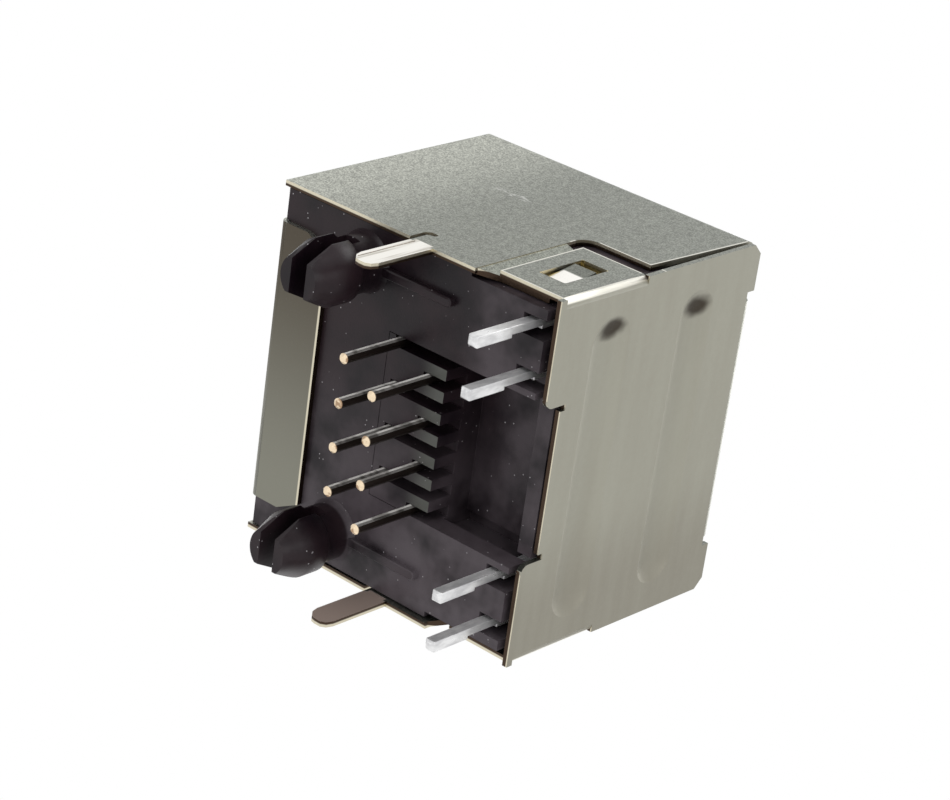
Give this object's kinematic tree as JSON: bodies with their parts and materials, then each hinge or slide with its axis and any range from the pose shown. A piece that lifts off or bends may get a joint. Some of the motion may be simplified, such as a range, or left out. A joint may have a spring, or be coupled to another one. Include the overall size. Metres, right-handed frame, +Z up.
{
  "type": "rj45 board jack",
  "caption": "Shielded modular jack for a circuit board: folded metal can with a latched rear cover, black housing, sprung wire contacts, corner lamps and split locating pegs.",
  "frame": {"origin": "on the board's top face, midway between the axes of the two locating pegs", "axes": "the mouth faces -Y, X runs across the mouth, +Z points up from the board"},
  "size_m": [0.0166, 0.0157, 0.0174],
  "materials": {
    "shield": "nickel-plated, satin, finely mottled",
    "housing": "satin black",
    "carrier": "satin black",
    "contact": "tinned tail, gold at the plug end",
    "lamp_left": "tinted translucent",
    "lamp_right": "tinted translucent",
    "lead": "bright tinned"
  },
  "bodies": {
    "root": {"shield": "shield", "housing": "housing", "contact_carrier": "carrier", "contact_1": "contact", "contact_2": "contact", "contact_3": "contact", "contact_4": "contact", "contact_5": "contact", "contact_6": "contact", "contact_7": "contact", "contact_8": "contact", "led_left": "lamp_left", "led_right": "lamp_right", "led_lead_left_outer": "lead", "led_lead_left_inner": "lead", "led_lead_right_inner": "lead", "led_lead_right_outer": "lead"}
  },
  "joints": []
}
